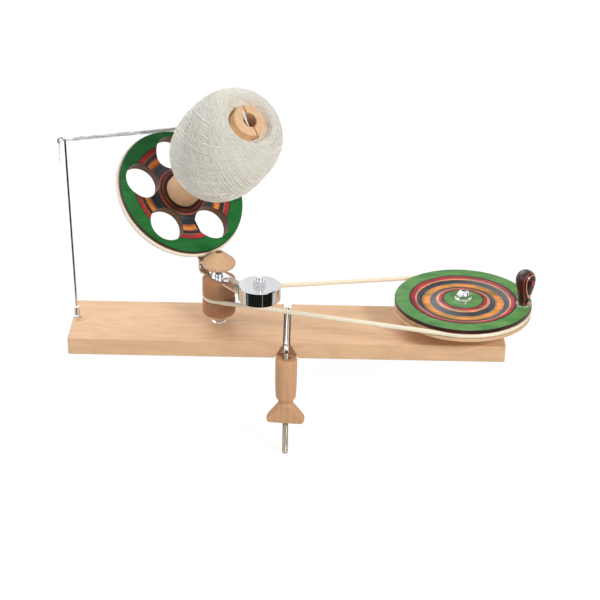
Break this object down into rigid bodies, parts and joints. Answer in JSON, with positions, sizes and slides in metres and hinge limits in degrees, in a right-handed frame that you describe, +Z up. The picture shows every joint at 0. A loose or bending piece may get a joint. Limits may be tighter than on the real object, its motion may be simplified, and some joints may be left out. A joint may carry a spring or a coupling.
{
  "type": "yarn ball winder",
  "caption": "Hand-cranked wooden yarn ball winder: belt-driven arm, tilted friction-driven head with slotted core, thread guide and table clamp.",
  "frame": {"origin": "middle of the board's underside", "axes": "+X along the board towards the crank wheel, +Y to the back, away from the clamp, +Z up"},
  "size_m": [0.4548, 0.1715, 0.3652],
  "materials": {
    "beech": "satin oiled",
    "turned_beech": "satin turned",
    "dyed_veneer": "satin lacquered laminate of dyed veneers",
    "dark_veneer": "satin lacquered laminate of dyed veneers",
    "zinc_steel": "zinc plated",
    "chrome": "polished",
    "brass": "machined",
    "cream_rubber": "matt",
    "wool": "spun yarn"
  },
  "bodies": {
    "base": {"base_board": "beech", "clamp_rod": "zinc_steel", "spindle_bolt": "zinc_steel", "spindle_washer": "zinc_steel", "spindle_nut": "zinc_steel", "spindle_spacer": "zinc_steel", "spindle_sleeve": "chrome", "cone_jam_nut": "chrome", "friction_cone": "turned_beech", "wheel_axle": "zinc_steel", "axle_washer": "zinc_steel", "axle_nut": "zinc_steel", "axle_spacer": "zinc_steel", "axle_sleeve": "zinc_steel", "axle_top_washer": "chrome", "axle_cap_nut": "chrome", "guide_wire": "zinc_steel", "guide_ferrule": "chrome", "drive_belt": "cream_rubber", "yarn_lead": "wool", "yarn_tail": "wool"},
    "arm": {"pulley": "turned_beech", "pulley_bearings": "zinc_steel", "arm_bracket": "chrome", "arm_screws": "chrome", "counterweight": "chrome", "counterweight_bolt": "zinc_steel", "counterweight_nut": "chrome", "head_axle": "zinc_steel", "head_axle_spacer": "zinc_steel", "head_axle_nut": "zinc_steel"},
    "head": {"head_face": "dyed_veneer", "head_back": "beech", "friction_ring": "cream_rubber", "head_bearing": "zinc_steel", "winding_core": "turned_beech"},
    "ball": {"yarn_ball": "wool", "yarn_winding": "wool", "yarn_end": "wool"},
    "wheel": {"wheel_face": "dyed_veneer", "wheel_back": "beech", "wheel_bearing": "zinc_steel", "knob_stud": "zinc_steel", "knob_washer": "chrome"},
    "knob": {"crank_knob": "dark_veneer"},
    "jaw": {"clamp_jaw": "turned_beech"},
    "wing": {"wing_nut": "turned_beech", "wing_insert": "brass"}
  },
  "joints": [
    {"name": "arm_turn", "type": "hinge", "parent": "base", "child": "arm", "pos_m": [-0.0667, 0, 0.0455], "axis": [0, 0, 1], "continuous": true, "deforming": ["yarn_lead"]},
    {"name": "head_turn", "type": "hinge", "parent": "arm", "child": "head", "pos_m": [-0.1038, 0.04344, 0.13628], "axis": [0.4592, -0.5377, 0.7071], "continuous": true},
    {"name": "ball_slide", "type": "slide", "parent": "head", "child": "ball", "axis": [0.4592, -0.5377, 0.7071], "range_m": [0, 0.12]},
    {"name": "wheel_turn", "type": "hinge", "parent": "base", "child": "wheel", "pos_m": [0.1702, 0, 0.0406], "axis": [0, 0, 1], "continuous": true},
    {"name": "knob_turn", "type": "hinge", "parent": "wheel", "child": "knob", "pos_m": [0.22803, -0.00813, 0.0469], "axis": [0, 0, 1], "continuous": true},
    {"name": "wing_turn", "type": "hinge", "parent": "jaw", "child": "wing", "pos_m": [0, -0.044, -0.057], "axis": [0, 0, -1], "range_deg": [0, 10800]},
    {"name": "jaw_slide", "type": "slide", "parent": "base", "child": "jaw", "axis": [0, 0, -1], "range_m": [0, 0.03]}
  ],
  "couplings": [
    {"joint": "wheel_turn", "follows": "arm_turn", "ratio": 0.21517},
    {"joint": "head_turn", "follows": "arm_turn", "ratio": 0.22009},
    {"joint": "wing_turn", "follows": "jaw_slide", "rad_per_m": 6283.2}
  ]
}
